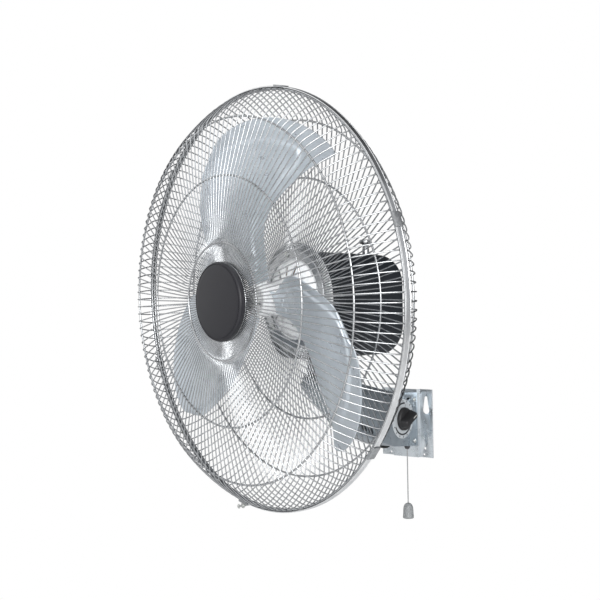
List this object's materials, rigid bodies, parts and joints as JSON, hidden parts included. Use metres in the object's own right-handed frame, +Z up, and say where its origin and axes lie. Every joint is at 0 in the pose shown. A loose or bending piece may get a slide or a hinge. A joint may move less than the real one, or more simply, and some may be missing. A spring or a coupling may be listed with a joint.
{
  "type": "wall mounted fan",
  "caption": "Oscillating wall fan with a round wire guard, sheet blades on a motor head, tilting neck, tapered sheet arm with speed dial and pull switch.",
  "frame": {"origin": "centre of the wall plate on the wall plane", "axes": "+Z up, +Y into the wall, so the fan stands out along -Y; +X is the right hand side of someone facing the wall"},
  "size_m": [0.6277, 0.4937, 0.7171],
  "materials": {
    "galvanised": "galvanised sheet, soft bluish grey with a faint spangle",
    "cast_grey": "die cast, dull grey",
    "shield_metal": "die cast, bright",
    "cover_black": "black paint, satin",
    "blade_metal": "rolled sheet, satin",
    "hub_metal": "turned, dull bright",
    "guard_wire": "bright plated wire",
    "bright_strip": "bright plated strip",
    "badge_black": "charcoal, half gloss",
    "zinc_screw": "zinc plated",
    "shaft_steel": "ground steel",
    "lamination": "stacked sheet, dark",
    "winding": "varnished copper wire",
    "bronze": "plain bearing bronze",
    "dial_metal": "satin sheet with dark marks",
    "knob_black": "black, fine grain",
    "switch_dark": "moulded",
    "pale_plastic": "moulded, slightly see-through",
    "pull_grey": "grey moulded bell and sheathed cord",
    "rubber_black": "soft, dull",
    "knob_chrome": "bright turned"
  },
  "bodies": {
    "mount": {"wall_plate": "galvanised", "arm_channel": "galvanised", "arm_cover": "galvanised", "side_screw_right_1": "zinc_screw", "side_screw_left_1": "zinc_screw", "side_screw_right_2": "zinc_screw", "side_screw_left_2": "zinc_screw", "dial_plate": "dial_metal", "speed_switch": "switch_dark", "run_capacitor": "pale_plastic", "terminal_block": "pale_plastic", "pull_switch": "switch_dark", "pull_gland": "pale_plastic", "supply_grommet": "rubber_black", "tilt_bolt": "zinc_screw", "tilt_nut": "zinc_screw"},
    "neck": {"neck_casting": "cast_grey", "pan_bush": "bronze"},
    "head": {"motor_shield": "shield_metal", "motor_cover": "cover_black", "stator_core": "lamination", "winding_front": "winding", "winding_rear": "winding", "bearing_front": "shaft_steel", "bearing_rear": "shaft_steel", "rear_frame": "cast_grey", "pan_pin": "shaft_steel", "gearbox_case": "cast_grey", "rear_guard": "guard_wire", "front_guard": "guard_wire", "guard_screw_1": "zinc_screw", "guard_screw_2": "zinc_screw", "guard_screw_3": "zinc_screw", "clamp_band": "bright_strip", "badge": "badge_black", "guard_clip_1": "bright_strip", "guard_clip_2": "bright_strip", "guard_clip_3": "bright_strip", "guard_clip_4": "bright_strip", "guard_clip_5": "bright_strip", "guard_clip_6": "bright_strip"},
    "link": {"crank_link": "shaft_steel"},
    "crank": {"crank_gear": "shaft_steel"},
    "pinion": {"pinion_shaft": "shaft_steel"},
    "worm_wheel": {"worm_wheel": "bronze"},
    "clutch": {"clutch_knob": "knob_chrome"},
    "rotor": {"motor_shaft": "shaft_steel", "rotor_core": "lamination", "blade_hub": "hub_metal", "blade_1": "blade_metal", "blade_2": "blade_metal", "blade_3": "blade_metal", "hub_nut": "zinc_screw"},
    "speed_knob": {"speed_knob": "knob_black"},
    "pull": {"pull_cord": "pull_grey", "pull_bell": "pull_grey"}
  },
  "joints": [
    {"name": "tilt", "type": "hinge", "parent": "mount", "child": "neck", "pos_m": [0, -0.27, 0.092], "axis": [1, 0, 0], "range_deg": [-12, 12]},
    {"name": "pan", "type": "hinge", "parent": "neck", "child": "head", "pos_m": [0, -0.25, 0.14], "axis": [0, 0, 1], "range_deg": [-29, 59]},
    {"name": "link_turn", "type": "hinge", "parent": "neck", "child": "link", "pos_m": [0.02, -0.25, 0.14], "axis": [0, 0, 1], "range_deg": [-29, 59]},
    {"name": "crank_turn", "type": "hinge", "parent": "head", "child": "crank", "pos_m": [0.01954, -0.17707, 0.15], "axis": [0, 0, 1], "range_deg": [-119, 59]},
    {"name": "pinion_turn", "type": "hinge", "parent": "head", "child": "pinion", "pos_m": [0.03789, -0.18199, 0.2], "axis": [0, 0, 1], "range_deg": [-129.9, 263.2]},
    {"name": "rotor_spin", "type": "hinge", "parent": "head", "child": "rotor", "pos_m": [-0.03106, -0.36591, 0.229], "axis": [-0.2588, -0.9659, 0], "continuous": true},
    {"name": "wheel_turn", "type": "hinge", "parent": "head", "child": "worm_wheel", "pos_m": [0.03789, -0.18199, 0.229], "axis": [0, 0, 1], "continuous": true},
    {"name": "clutch_lift", "type": "slide", "parent": "head", "child": "clutch", "axis": [0, 0, 1], "range_m": [-0.008, 0]},
    {"name": "speed_turn", "type": "hinge", "parent": "mount", "child": "speed_knob", "pos_m": [0.03, -0.058, 0.014], "axis": [1, 0, 0], "range_deg": [0, 135]},
    {"name": "pull_slide", "type": "slide", "parent": "mount", "child": "pull", "axis": [0, 0, 1], "range_m": [-0.01, 0], "stiffness_N_per_m": 400, "springref_m": 0.002}
  ],
  "couplings": [
    {"joint": "link_turn", "follows": "pan", "ratio": 1},
    {"joint": "crank_turn", "follows": "pan", "ratio": -2},
    {"joint": "pinion_turn", "follows": "pan", "ratio": 4.4444},
    {"joint": "wheel_turn", "follows": "rotor_spin", "ratio": 0.055556}
  ]
}
